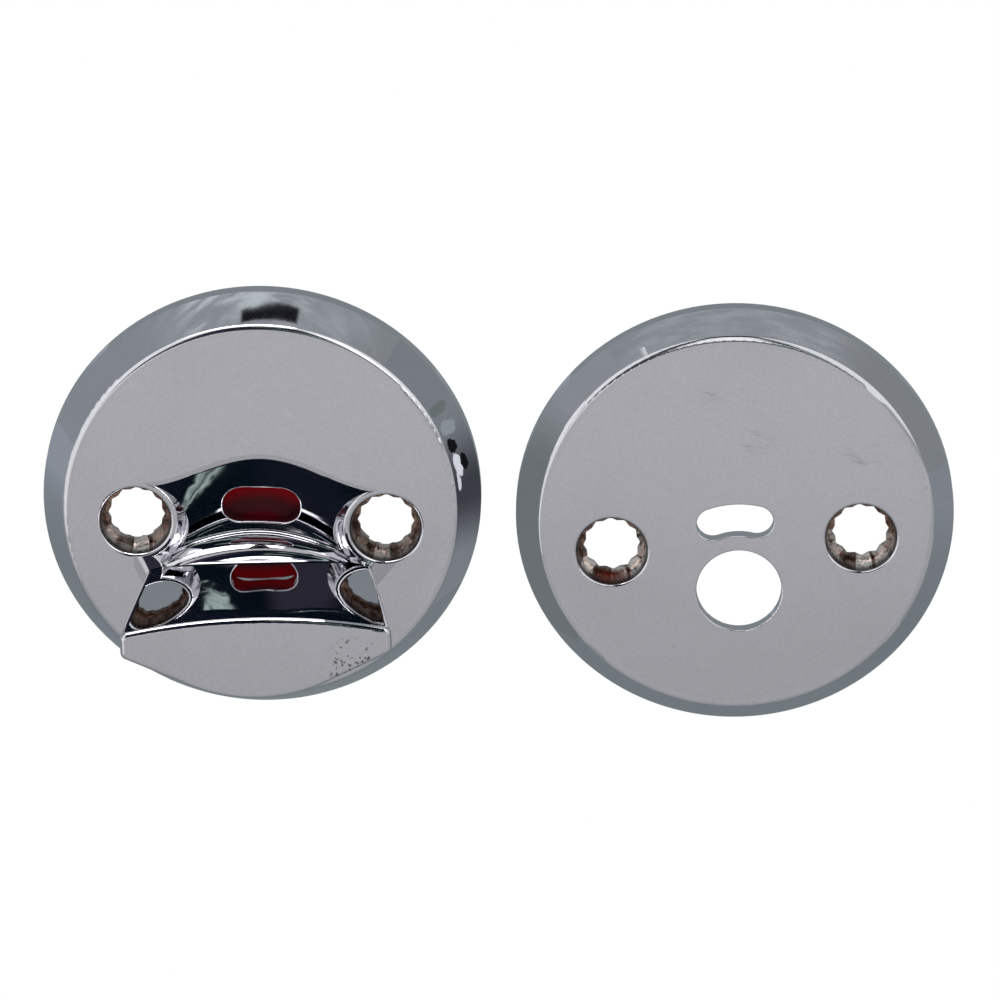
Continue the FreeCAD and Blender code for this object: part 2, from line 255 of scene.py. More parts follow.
@dataclass(frozen=True)
class Finish:
    """A named surface finish."""

    name: str

    def sketch(self) -> tuple[bpy.types.Material, NodeSketch, bpy.types.Node, Socket]:
        """Start a material with its shader and object coordinates.

        Returns:
            The material, its node sketch, the shader node and the coordinates.
        """
        material = bpy.data.materials.new(self.name)
        material.use_nodes = True
        sketch = NodeSketch(material.node_tree)
        shader = sketch.node("ShaderNodeBsdfPrincipled")
        out = sketch.node("ShaderNodeOutputMaterial")
        sketch.feed(out.inputs["Surface"], shader.outputs["BSDF"])
        where = sketch.node("ShaderNodeTexCoord").outputs["Object"]
        return material, sketch, shader, where


@dataclass(frozen=True)
class WornSeat:
    """A screw seat where the plate has worn to the copper below it, in millimetres.

    Each painted glint is a painted highlight on one facet: its angle in degrees and its share.
    """

    axis: Plan
    radius: float
    face: float
    painted_glints: tuple[Plan, ...] = ()
    rust: float = 0.0


@dataclass(frozen=True)
class ChromePlate(Finish):
    """Bright plate on a casting, with handling marks, worn seats, pitting, and painted highlights and
    painted shade in the seats.

    Smears are x, z and radius; pits are x, z, radius and height of the end; all in millimetres.
    """

    seats: tuple[WornSeat, ...] = ()
    smears: tuple[Place, ...] = ()
    pits: tuple[float, float, float, float] | None = None
    crown: Plan | None = None

    tint: Colour = (0.70, 0.685, 0.72, 1.0)
    haze: Colour = (0.58, 0.575, 0.60, 1.0)
    bare: Colour = (0.075, 0.046, 0.036, 1.0)
    copper: Colour = (0.36, 0.24, 0.195, 1.0)
    # painted highlight: colour of the lit facets in the worn seats
    bright: Colour = (1.0, 0.92, 0.88, 1.0)
    rust: Colour = (0.24, 0.05, 0.03, 1.0)
    # painted shade: the dark rim just inside each seat's edge
    shadow: Colour = (0.02, 0.016, 0.015, 1.0)
    smear: Colour = (0.36, 0.35, 0.37, 1.0)
    pit: Colour = (0.20, 0.16, 0.15, 1.0)

    polish_rough: float = 0.022
    cloud_rough: float = 0.03
    grain_rough: float = 0.02
    worn_rough: float = 0.22
    smear_rough: float = 0.5
    smear_share: float = 0.55
    smear_turn: float = 6.0
    smear_stretch: float = 4.0
    pit_rough: float = 0.45
    pit_depth: float = 0.8
    facet_edge: Band = (13.0, 15.0)
    rust_edge: Band = (-4.9, -3.9)
    crown_radius: float = 31.7
    crown_half: float = 1.7
    crown_rise: float = 15.0
    ring_inner: Band = (28.7, 28.9)
    ring_outer: Band = (30.1, 30.3)
    ring_rough: float = 0.10

    def material(self) -> bpy.types.Material:
        """Build the finish.

        Returns:
            The material.
        """
        material, sketch, shader, where = self.sketch()
        cloud = sketch.noise(where, 60.0, 4.0, 0.55)
        grain = sketch.noise(where, 2600.0, 2.0, 0.6)
        wave = sketch.noise(where, 140.0, 1.0, 0.4)
        colour = sketch.colour(sketch.ramp(cloud, 0.45, 0.8, 0.0, 0.35), self.tint, self.haze)
        colour = sketch.colour(sketch.ramp(grain, 0.38, 0.66, 0.0, 0.34), colour, self.haze)
        clouded = sketch.rise(cloud, (0.4, 0.75))
        rough = sketch.math("MULTIPLY_ADD", clouded, self.cloud_rough, self.polish_rough)
        rough = sketch.math("MULTIPLY_ADD", grain, self.grain_rough, rough)
        height = sketch.math("MULTIPLY_ADD", grain, 0.012, wave)
        for smear in self.smears:
            colour, rough = self.smeared(sketch, where, smear, colour, rough)
        for seat in self.seats:
            colour, rough = self.worn(sketch, where, seat, colour, rough)
        if self.pits:
            colour, rough, height = self.pitted(sketch, where, colour, rough, height)
        bump = sketch.bump(0.12, 0.1 * MM, height)
        if self.crown:
            rough = self.crowned(sketch, where, bump, rough)
        sketch.feed(shader.inputs["Base Color"], colour)
        sketch.feed(shader.inputs["Roughness"], rough)
        sketch.feed(shader.inputs["Normal"], bump.outputs["Normal"])
        shader.inputs["Metallic"].default_value = 1.0
        return material

    def crowned(self, sketch: NodeSketch, where: Socket, bump: bpy.types.Node,
                rough: Socket) -> Socket:
        """Let the bevel swell across its width, as polishing leaves it, and dull its inner edge.

        Args:
            sketch: the node tree.
            where: object coordinates.
            bump: the bump node that the swell lies under.
            rough: roughness so far.

        Returns:
            The new roughness.
        """
        middle = (self.crown[0] * MM, 0.0, self.crown[1] * MM)
        flat = sketch.vector("MULTIPLY", where, (1.0, 0.0, 1.0)).outputs["Vector"]
        away = sketch.vector("DISTANCE", flat, middle).outputs["Value"]
        inner = (self.crown_radius - self.crown_half) * MM
        across = sketch.math("MAXIMUM", sketch.math("SUBTRACT", away, inner), 0.0)
        across = sketch.math("SUBTRACT", across, self.crown_half * MM)
        under = sketch.bump(1.0, 1.0, sketch.product(across, across, -self.crown_rise))
        sketch.feed(bump.inputs["Normal"], under.outputs["Normal"])
        within = sketch.spot(where, self.crown, *self.ring_outer)
        ring = sketch.math("SUBTRACT", within, sketch.spot(where, self.crown, *self.ring_inner))
        return sketch.math("MULTIPLY_ADD", ring, self.ring_rough, rough)

    def smeared(self, sketch: NodeSketch, where: Socket, smear: Place,
                colour: Socket, rough: Socket) -> tuple[Socket, Socket]:
        """Add one dull handling mark to a face.

        Args:
            sketch: the node tree.
            where: object coordinates.
            smear: x, z and radius of the mark, in millimetres.
            colour: colour so far.
            rough: roughness so far.

        Returns:
            The new colour and roughness.
        """
        x, z, radius = smear
        spot = sketch.spot(where, (x, z), 0.2 * radius, radius)
        streak = sketch.node("ShaderNodeMapping", vector_type="TEXTURE")
        sketch.feed(streak.inputs["Vector"], where)
        streak.inputs["Rotation"].default_value = (0.0, math.radians(self.smear_turn), 0.0)
        streak.inputs["Scale"].default_value = (self.smear_stretch, 1.0, 1.0)
        veil = sketch.rise(sketch.noise(streak.outputs["Vector"], 1500.0, 5.0, 0.7), (0.50, 0.72))
        share = sketch.product(spot, veil, self.smear_share)
        dull = sketch.colour(share, colour, self.smear)
        return dull, sketch.math("MULTIPLY_ADD", share, self.smear_rough, rough)

    def worn(self, sketch: NodeSketch, where: Socket, seat: WornSeat,
             colour: Socket, rough: Socket) -> tuple[Socket, Socket]:
        """Wear one screw seat to brown copper, with painted highlights on some facets and a painted
        shaded rim.

        Args:
            sketch: the node tree.
            where: object coordinates.
            seat: the seat's place and size.
            colour: colour so far.
            rough: roughness so far.

        Returns:
            The new colour and roughness.
        """
        axis = (seat.axis[0] * MM, 0.0, seat.axis[1] * MM)
        x, y, z = sketch.parts(sketch.vector("SUBTRACT", where, axis).outputs["Vector"])
        below = sketch.rise(y, ((0.10 - seat.face) * MM, (0.40 - seat.face) * MM))
        inside = sketch.spot(where, seat.axis, seat.radius, seat.radius + 0.15)
        inside = sketch.product(below, inside)
        angle = sketch.math("ARCTAN2", z, x)
        flake = sketch.noise(where, 800.0, 5.0, 0.7)
        brown = sketch.colour(sketch.rise(flake, (0.35, 0.65)), self.bare, self.copper)
        worn_through = sketch.rise(flake, (0.36, 0.48))
        start, end = (math.radians(edge) for edge in self.facet_edge)
        # painted highlights: lit facets at given angles, only where the plate is worn through
        for facet, share in seat.painted_glints:
            off = sketch.size(sketch.math("SUBTRACT", angle, math.radians(facet)))
            lit = sketch.product(sketch.ramp(off, start, end, share, 0.0), worn_through)
            brown = sketch.colour(lit, brown, self.bright)
        low, high = (edge * MM for edge in self.rust_edge)
        foot = sketch.ramp(z, low, high, seat.rust, 0.0)
        foot = sketch.product(foot, sketch.rise(flake, (0.36, 0.46)))
        brown = sketch.colour(foot, brown, self.rust)
        # painted shade: a dark rim just inside the seat's edge
        middle = sketch.spot(where, seat.axis, seat.radius - 0.42, seat.radius - 0.22)
        rim_shade = sketch.product(sketch.math("SUBTRACT", 1.0, middle), 0.8)
        brown = sketch.colour(rim_shade, brown, self.shadow)
        dull = sketch.math("MULTIPLY_ADD", inside, self.worn_rough, rough)
        return sketch.colour(inside, colour, brown), dull

    def pitted(self, sketch: NodeSketch, where: Socket, colour: Socket,
               rough: Socket, height: Socket) -> tuple[Socket, Socket, Socket]:
        """Scatter flaked pits over one corner of the grip's flat end.

        Args:
            sketch: the node tree.
            where: object coordinates.
            colour: colour so far.
            rough: roughness so far.
            height: bump height so far.

        Returns:
            The new colour, roughness and height.
        """
        x, z, radius, front = self.pits
        depth = sketch.parts(where)[1]
        on_end = sketch.fall(depth, ((0.2 - front) * MM, (1.0 - front) * MM))
        near = sketch.spot(where, (x, z), 0.7 * radius, radius)
        flake = sketch.rise(sketch.noise(where, 1500.0, 3.0, 0.7), (0.56, 0.61))
        patch = sketch.rise(sketch.noise(where, 420.0, 2.0, 0.5), (0.38, 0.50))
        share = sketch.product(on_end, near, flake, patch)
        return (
            sketch.colour(share, colour, self.pit),
            sketch.math("MULTIPLY_ADD", share, self.pit_rough, rough),
            sketch.math("MULTIPLY_ADD", share, -self.pit_depth, height),
        )


@dataclass(frozen=True)
class IndicatorPaint(Finish):
    """Gloss red disc with one white sector for the open position, its red darkened towards the hub by
    painted shade.
    """

    red: Colour = (0.33, 0.002, 0.007, 1.0)
    red_deep: Colour = (0.25, 0.002, 0.006, 1.0)
    white: Colour = (0.75, 0.74, 0.70, 1.0)
    white_old: Colour = (0.60, 0.58, 0.52, 1.0)
    # painted shade: the red darkens towards the hub, most at its foot
    hub_shade: Colour = (0.075, 0.014, 0.018, 1.0)
    foot: Colour = (0.12, 0.005, 0.010, 1.0)
    half_angle: float = 42.0
    hub_shade_edge: Band = (8.8, 11.4)
    foot_edge: Band = (6.6, 7.8)
    gloss: float = 0.04

    def material(self) -> bpy.types.Material:
        """Build the finish.

        Returns:
            The material.
        """
        material, sketch, shader, where = self.sketch()
        x, _, z = sketch.parts(where)
        angle = sketch.size(sketch.math("ARCTAN2", z, x))
        edge = math.radians(self.half_angle)
        sector = sketch.fall(angle, (edge - 0.01, edge + 0.01))
        cloud = sketch.noise(where, 420.0, 4.0, 0.6)
        hub = (0.0, 0.0)
        red = sketch.colour(sketch.rise(cloud, (0.35, 0.75)), self.red, self.red_deep)
        # painted shade: the red darkens towards the hub in two steps
        red = sketch.colour(sketch.spot(where, hub, *self.hub_shade_edge), red, self.hub_shade)
        red = sketch.colour(sketch.spot(where, hub, *self.foot_edge), red, self.foot)
        white = sketch.colour(sketch.rise(cloud, (0.45, 0.8)), self.white, self.white_old)
        bump = sketch.bump(0.1, 0.1 * MM, sketch.noise(where, 1500.0, 2.0, 0.5))
        sketch.feed(shader.inputs["Base Color"], sketch.colour(sector, red, white))
        sketch.feed(shader.inputs["Roughness"], sketch.math("MULTIPLY_ADD", cloud, 0.2, 0.22))
        sketch.feed(shader.inputs["Normal"], bump.outputs["Normal"])
        shader.inputs["Specular IOR Level"].default_value = self.gloss
        return material


@dataclass(frozen=True)
class SpringSteel(Finish):
    """Plain spring steel with a turned grain and light oil stain."""

    grey: Colour = (0.40, 0.40, 0.41, 1.0)
    stain: Colour = (0.22, 0.20, 0.19, 1.0)

    def material(self) -> bpy.types.Material:
        """Build the finish.

        Returns:
            The material.
        """
        material, sketch, shader, where = self.sketch()
        rings = sketch.node("ShaderNodeTexWave", wave_type="RINGS", rings_direction="Y")
        sketch.feed(rings.inputs["Vector"], where)
        rings.inputs["Scale"].default_value = 900.0
        rings.inputs["Distortion"].default_value = 1.5
        ring = rings.outputs["Fac"]
        cloud = sketch.noise(where, 500.0, 4.0, 0.6)
        colour = sketch.colour(sketch.rise(cloud, (0.5, 0.75)), self.grey, self.stain)
        bump = sketch.bump(0.15, 0.05 * MM, ring)
        sketch.feed(shader.inputs["Base Color"], colour)
        sketch.feed(shader.inputs["Roughness"], sketch.math("MULTIPLY_ADD", ring, 0.12, 0.26))
        sketch.feed(shader.inputs["Normal"], bump.outputs["Normal"])
        shader.inputs["Metallic"].default_value = 1.0
        return material


def dress(node: Node, finish: ChromePlate | IndicatorPaint | SpringSteel) -> None:
    """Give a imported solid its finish.

    Args:
        node: the solid.
        finish: its finish.
    """
    material = finish.material()
    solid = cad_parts[node.value]
    for slot in solid.material_slots:
        slot.material = material
    LOG.info("dressed %s with %s", node.value, material.name)


@dataclass
class InsideHalf:
    """The rosette with the finger scoop, and the washer behind it, in millimetres."""

    middle: Plan = (0.0, 9.5)
    screw_half: float = 19.0
    screw_rise: float = 7.5
    seat_radius: float = 5.5
    face: float = 8.7
    # angles and shares of the painted highlights in each seat
    left_painted_glints: tuple[Plan, ...] = ((-80.0, 0.95), (-112.0, 0.25), (-140.0, 0.45), (-45.0, 0.3))
    right_painted_glints: tuple[Plan, ...] = ((-95.0, 0.5), (-50.0, 0.28), (-135.0, 0.2))

    def seats(self) -> tuple[WornSeat, ...]:
        """The two worn screw seats.

        Returns:
            The left and the right seat.
        """
        return tuple(
            WornSeat((side * self.screw_half, self.screw_rise), self.seat_radius, self.face, painted_glints)
            for side, painted_glints in ((-1, self.left_painted_glints), (1, self.right_painted_glints))
        )

    def build(self) -> None:
        """Dress the casting and its washer."""
        plate = ChromePlate("inside_chrome_plate", seats=self.seats(), crown=self.middle)
        dress(Node.INNER_ROSETTE, plate)
        dress(Node.FRICTION_WASHER, SpringSteel("washer_spring_steel"))


@dataclass
class ThumbTurn:
    """The turning grip with its indicator disc and clip, in millimetres."""

    end_height: float = 27.5
    pit_place: Plan = (15.2, -7.2)
    pit_radius: float = 4.8

    def build(self) -> None:
        """Dress the grip and the pieces on its hub."""
        pits = (*self.pit_place, self.pit_radius, self.end_height)
        dress(Node.THUMB_TURN, ChromePlate("grip_chrome_plate", pits=pits))
        dress(Node.INDICATOR_DISC, IndicatorPaint("indicator_paint"))
        dress(Node.RETAINING_CLIP, SpringSteel("clip_spring_steel"))


@dataclass
class OutsideHalf:
    """The plain rosette with the indicator slot and spindle bore, in millimetres."""

    bore: Plan = (73.1, -1.9)
    turned: float = 5.2
    middle_rise: float = 10.9
    screw_half: float = 19.0
    screw_rise: float = 7.5
    seat_radius: float = 5.5
    face: float = 6.4
    left_rust: float = 0.9
    # angles and shares of the painted highlights in each seat
    left_painted_glints: tuple[Plan, ...] = (
        (-138.0, 0.8), (-75.0, 0.85), (-40.0, 0.8), (-8.0, 0.4), (22.0, 0.25),
    )
    right_painted_glints: tuple[Plan, ...] = (
        (-82.0, 1.0), (-142.0, 0.5), (-172.0, 0.3), (-48.0, 0.65), (-18.0, 0.3),
    )
    smears: tuple[Place, ...] = (
        (68.5, 30.0, 3.4), (72.8, 29.5, 2.4), (74.6, 22.3, 3.6), (91.0, 20.5, 4.0),
    )

    def place(self, u: float, v: float) -> Plan:
        """Turn a place on the half into the shared frame.

        Args:
            u: right of the half's bore.
            v: above it.

        Returns:
            x and z.
        """
        cos, sin = math.cos(math.radians(self.turned)), math.sin(math.radians(self.turned))
        return (self.bore[0] + u * cos - v * sin, self.bore[1] + u * sin + v * cos)

    def seats(self) -> tuple[WornSeat, ...]:
        """The two worn screw seats.

        Returns:
            The left and the right seat.
        """
        sides = ((-1, self.left_painted_glints, self.left_rust), (1, self.right_painted_glints, 0.0))
        return tuple(
            WornSeat(self.place(side * self.screw_half, self.screw_rise),
                     self.seat_radius, self.face, painted_glints, rust)
            for side, painted_glints, rust in sides
        )

    def build(self) -> None:
        """Dress the casting."""
        middle = self.place(0.0, self.middle_rise)
        dress(Node.OUTER_ROSETTE, ChromePlate(
            "outside_chrome_plate", seats=self.seats(), smears=self.smears, crown=middle))


class CardSide(Enum):
    """The two studio cards, each a little off the plane between the halves, in metres."""

    LEFT = -0.0002
    RIGHT = 0.0002


@dataclass
class Cards:
    """Two thin glowing cards back to back between the halves, so that neither mirrors the other. The
    left card's shading and blots paint the reflection of the outside half.

    The plane's sizes are in metres. Heights and blots are in millimetres, and a blot is its
    y, z, half width, half height and colour.
    """

    width: float = 0.016
    height: float = 0.080
    centre: Place = (0.03605, -0.004, 0.009)
    left_dark: Colour = (0.060, 0.070, 0.080, 1.0)
    left_pale: Colour = (0.262, 0.288, 0.312, 1.0)
    left_dark_height: float = 12.2
    left_fade: Band = (1.0, 14.5)
    right_low: Colour = (0.205, 0.235, 0.243, 1.0)
    right_high: Colour = (0.345, 0.375, 0.395, 1.0)
    right_fade: Band = (16.0, 32.0)
    blots: tuple[tuple[float, float, float, float, Colour], ...] = (
        (-3.0, 28.6, 2.2, 1.3, (0.20, 0.235, 0.225, 1.0)),
        (-3.4, 24.2, 1.9, 1.6, (0.34, 0.395, 0.425, 1.0)),
        (-4.2, 20.6, 0.9, 1.6, (0.01, 0.01, 0.012, 1.0)),
        (-4.4, 16.9, 0.9, 2.5, (0.90, 0.95, 1.0, 1.0)),
        (-3.0, 17.0, 0.7, 1.6, (0.01, 0.01, 0.012, 1.0)),
        (-4.9, 13.6, 0.4, 1.7, (0.85, 0.90, 0.95, 1.0)),
    )
    blot_edge: Band = (1.42, 1.58)
    blot_ragged: float = 1.1

    def build(self) -> None:
        """Stand both cards, out of the camera's sight."""
        corners = ((-0.5, -0.5), (0.5, -0.5), (-0.5, 0.5), (0.5, 0.5))
        x, y, z = self.centre
        for side in CardSide:
            bpy.ops.object.select_all(action="DESELECT")
            bpy.ops.mesh.primitive_plane_add(size=1.0, location=(0.0, 0.0, 0.0))
            card = bpy.context.object
            card.name = side.name.lower() + "_card"
            for corner, (across, up) in zip(card.data.vertices, corners):
                corner.co = (x + side.value, y + across * self.width, z + up * self.height)
            card.data.materials.append(self.paint(side))
            card.visible_camera = False

    def paint(self, side: CardSide) -> bpy.types.Material:
        """Graded grey glow, with a few ragged blots on the card that faces the inside half, a painted
        reflection of the outside half.

        Args:
            side: which of the two cards.

        Returns:
            The material.
        """
        material = bpy.data.materials.new(side.name.lower() + "_card")
        material.use_nodes = True
        sketch = NodeSketch(material.node_tree)
        where = sketch.node("ShaderNodeTexCoord").outputs["Object"]
        height = sketch.parts(where)[2]
        if side is CardSide.LEFT:
            # painted reflection: the left card's dark band and blots stand for the outside half as
            # the inside half's bevel mirrors it
            away = sketch.size(sketch.math("SUBTRACT", height, self.left_dark_height * MM))
            fade = sketch.ramp(away, self.left_fade[0] * MM, self.left_fade[1] * MM)
            shade = sketch.colour(fade, self.left_dark, self.left_pale)
            for y, z, across, tall, tone in self.blots:
                share = self.blot(sketch, where, (y, z), (across, tall))
                shade = sketch.colour(share, shade, tone)
        else:
            fade = sketch.ramp(height, self.right_fade[0] * MM, self.right_fade[1] * MM)
            shade = sketch.colour(fade, self.right_low, self.right_high)
        sketch.glow("ShaderNodeOutputMaterial", "ShaderNodeEmission", shade)
        return material

    def blot(self, sketch: NodeSketch, where: Socket, centre: Plan, radii: Plan) -> Socket:
        """Draw one ragged oval on a card.

        Args:
            sketch: the node tree.
            where: object coordinates.
            centre: y and z of its middle, in millimetres.
            radii: its half sizes along y and z, in millimetres.

        Returns:
            The share of the oval at each place.
        """
        middle = (0.0, centre[0] * MM, centre[1] * MM)
        stretch = (0.0, 1.0 / (radii[0] * MM), 1.0 / (radii[1] * MM))
        offset = sketch.vector("SUBTRACT", where, middle).outputs["Vector"]
        unit = sketch.vector("MULTIPLY", offset, stretch).outputs["Vector"]
        away = sketch.vector("DISTANCE", unit, (0.0, 0.0, 0.0)).outputs["Value"]
        torn = sketch.noise(where, 700.0, 3.0, 0.6)
        return sketch.fall(sketch.math("MULTIPLY_ADD", torn, self.blot_ragged, away), self.blot_edge)


@dataclass(frozen=True)
class Sky:
    """Direction values that the room is drawn from, with angles in degrees.

    Tilt runs from the front horizon over the top to the back, swing is to the right of the
    front, and level is above the horizon.
    """

    where: Socket
    x: Socket
    z: Socket
    tilt: Socket
    swing: Socket
    level: Socket
    ragged: Socket
    streaks: Socket


@dataclass(frozen=True)
class Room:
    """The room that the plate mirrors: dark in front, grey overhead, pale to the camera.

    Bands of tilt, swing, slant and level are in degrees. The others are parts of a direction.
    """

    dusk_low: Colour = (0.042, 0.040, 0.060, 1.0)
    dusk_high: Colour = (0.009, 0.013, 0.024, 1.0)
    dusk_level: Band = (14.0, 24.0)
    night: Colour = (0.003, 0.008, 0.014, 1.0)
    night_x: Band = (-0.20, -0.03)
    lit_left: Colour = (1.05, 1.08, 1.10, 1.0)
    lit_right: Colour = (1.0, 1.03, 1.05, 1.0)
    lit_foot: Colour = (0.36, 0.38, 0.39, 1.0)
    lit_foot_z: Band = (0.04, 0.16)
    lit_x: Band = (-0.1, 0.1)
    dark_left_swing: Band = (-30.0, -27.0)
    dark_right_swing: Band = (16.0, 20.0)

    glint: Colour = (0.62, 0.80, 0.71, 1.0)
    glint_broken: Band = (0.40, 0.56)
    high_glint_from: Band = (35.0, 36.2)
    high_glint_to: Band = (39.5, 41.0)
    high_glint_swing: Band = (4.0, 5.5)
    low_glint_slant: Band = (12.7, 13.2)
    low_glint_from: Band = (1.0, 2.0)
    low_glint_to: Band = (14.0, 16.0)
    low_glint_swing: Band = (15.0, 16.0)

    overhead_dim: Colour = (0.345, 0.38, 0.40, 1.0)
    overhead_pale: Colour = (0.43, 0.465, 0.485, 1.0)
    overhead_tilt: Band = (66.0, 74.0)
    cloud: Colour = (0.66, 0.74, 0.75, 1.0)
    cloud_from: Band = (101.0, 104.0)
    cloud_to: Band = (112.0, 120.0)
    cloud_right_x: Band = (0.15, 0.30)
    cloud_right_share: float = 0.05
    cloud_reach: Band = (0.42, 0.58)
    back: Colour = (0.265, 0.30, 0.315, 1.0)
    back_tilt: Band = (112.0, 150.0)

    left_flank: Colour = (0.315, 0.345, 0.375, 1.0)
    right_flank: Colour = (0.288, 0.315, 0.327, 1.0)
    flank_x: Band = (-0.4, 0.4)
    flank_reach: Band = (0.45, 0.8)
    flank_swing: Band = (68.0, 80.0)

    flag: Colour = (0.008, 0.008, 0.012, 1.0)
    flag_from: Band = (101.0, 101.3)
    flag_to: Band = (103.2, 103.7)
    flag_ragged: float = 2.4
    flag_reach: Band = (0.17, 0.20)
    seen: Colour = (0.96, 0.96, 0.96, 1.0)

    def build(self) -> None:
        """Draw the room in the world's own shader."""
        world = bpy.data.worlds.new("studio_room")
        bpy.context.scene.world = world
        world.use_nodes = True
        sketch = NodeSketch(world.node_tree)
        sky = self.sky(sketch)
        shade = self.overhead(sketch, sky, self.front(sketch, sky))
        shade = self.flanks(sketch, sky, shade)
        shade = self.flagged(sketch, sky, shade)
        path = sketch.node("ShaderNodeLightPath")
        shade = sketch.colour(path.outputs["Is Camera Ray"], shade, self.seen)
        sketch.glow("ShaderNodeOutputWorld", "ShaderNodeBackground", shade)

    def sky(self, sketch: NodeSketch) -> Sky:
        """Work out the direction values.

        Args:
            sketch: the world's node tree.

        Returns:
            The values.
        """
        where = sketch.node("ShaderNodeTexCoord").outputs["Generated"]
        x, y, z = sketch.parts(where)
        fore = sketch.product(y, -1.0)
        above = sketch.math("MAXIMUM", z, 0.0)
        tilt = sketch.math("DEGREES", sketch.math("ARCTAN2", above, fore))
        swing = sketch.math("DEGREES", sketch.math("ARCTAN2", x, fore))
        level = sketch.math("DEGREES", sketch.math("ARCSINE", z))
        drawn = sketch.node("ShaderNodeCombineXYZ")
        sketch.feed(drawn.inputs[0], sketch.product(x, 4.0))
        sketch.feed(drawn.inputs[1], sketch.product(tilt, math.radians(30.0)))
        ragged = sketch.noise(drawn.outputs[0], 1.0, 4.0, 0.6)
        streaks = sketch.rise(ragged, (0.42, 0.62))
        return Sky(where, x, z, tilt, swing, level, ragged, streaks)

    def front(self, sketch: NodeSketch, sky: Sky) -> Socket:
        """The dark room behind the camera, lit at both sides, with a few broken glints.

        Args:
            sketch: the world's node tree.
            sky: the direction values.

        Returns:
            Its colour.
        """
        dusk = sketch.rise(sky.level, self.dusk_level)
        dusk = sketch.colour(dusk, self.dusk_low, self.dusk_high)
        dark = sketch.colour(sketch.rise(sky.x, self.night_x), dusk, self.night)
        right = sketch.colour(sketch.rise(sky.z, self.lit_foot_z), self.lit_foot, self.lit_right)
        lit = sketch.colour(sketch.rise(sky.x, self.lit_x), self.lit_left, right)
        beyond_left = sketch.fall(sky.swing, self.dark_left_swing)
        beyond_right = sketch.rise(sky.swing, self.dark_right_swing)
        shade = sketch.colour(sketch.math("ADD", beyond_left, beyond_right), dark, lit)
        high = sketch.product(
            sketch.rise(sky.level, self.high_glint_from),
            sketch.fall(sky.level, self.high_glint_to),
            sketch.fall(sketch.size(sky.swing), self.high_glint_swing),
        )
        low = sketch.product(
            sketch.rise(sketch.math("MULTIPLY_ADD", sky.swing, 0.8, sky.level), self.low_glint_slant),
            sketch.rise(sky.level, self.low_glint_from),
            sketch.fall(sky.level, self.low_glint_to),
            sketch.fall(sky.swing, self.low_glint_swing),
        )
        broken = sketch.rise(sketch.noise(sky.where, 26.0, 4.0, 0.7), self.glint_broken)
        share = sketch.product(sketch.math("MAXIMUM", high, low), broken)
        return sketch.colour(share, shade, self.glint)

    def overhead(self, sketch: NodeSketch, sky: Sky, shade: Socket) -> Socket:
        """Grey overhead with drawn clouds, fading to the back.

        Args:
            sketch: the world's node tree.
            sky: the direction values.
            shade: colour so far.

        Returns:
            The new colour.
        """
        grey = sketch.colour(sky.streaks, self.overhead_dim, self.overhead_pale)
        shade = sketch.colour(sketch.rise(sky.tilt, self.overhead_tilt), shade, grey)
        cloud = sketch.product(
            sky.streaks,
            sketch.rise(sky.tilt, self.cloud_from),
            sketch.fall(sky.tilt, self.cloud_to),
            sketch.ramp(sky.x, *self.cloud_right_x, 1.0, self.cloud_right_share),
            sketch.fall(sketch.size(sky.x), self.cloud_reach),
        )
        shade = sketch.colour(cloud, shade, self.cloud)
        return sketch.colour(sketch.rise(sky.tilt, self.back_tilt), shade, self.back)

    def flanks(self, sketch: NodeSketch, sky: Sky, shade: Socket) -> Socket:
        """Paler walls far to the left and right.

        Args:
            sketch: the world's node tree.
            sky: the direction values.
            shade: colour so far.

        Returns:
            The new colour.
        """
        side = sketch.product(
            sketch.rise(sketch.size(sky.x), self.flank_reach),
            sketch.rise(sketch.size(sky.swing), self.flank_swing),
        )
        turn = sketch.rise(sky.x, self.flank_x)
        return sketch.colour(side, shade, sketch.colour(turn, self.left_flank, self.right_flank))

    def flagged(self, sketch: NodeSketch, sky: Sky, shade: Socket) -> Socket:
        """A narrow black flag with a ragged far edge, high above the middle.

        Args:
            sketch: the world's node tree.
            sky: the direction values.
            shade: colour so far.

        Returns:
            The new colour.
        """
        smooth = sketch.math("SUBTRACT", sky.tilt, self.flag_ragged / 2)
        edge = sketch.math("MULTIPLY_ADD", sky.ragged, self.flag_ragged, smooth)
        share = sketch.product(
            sketch.rise(sky.tilt, self.flag_from),
            sketch.fall(edge, self.flag_to),
            sketch.fall(sketch.size(sky.x), self.flag_reach),
        )
        return sketch.colour(share, shade, self.flag)


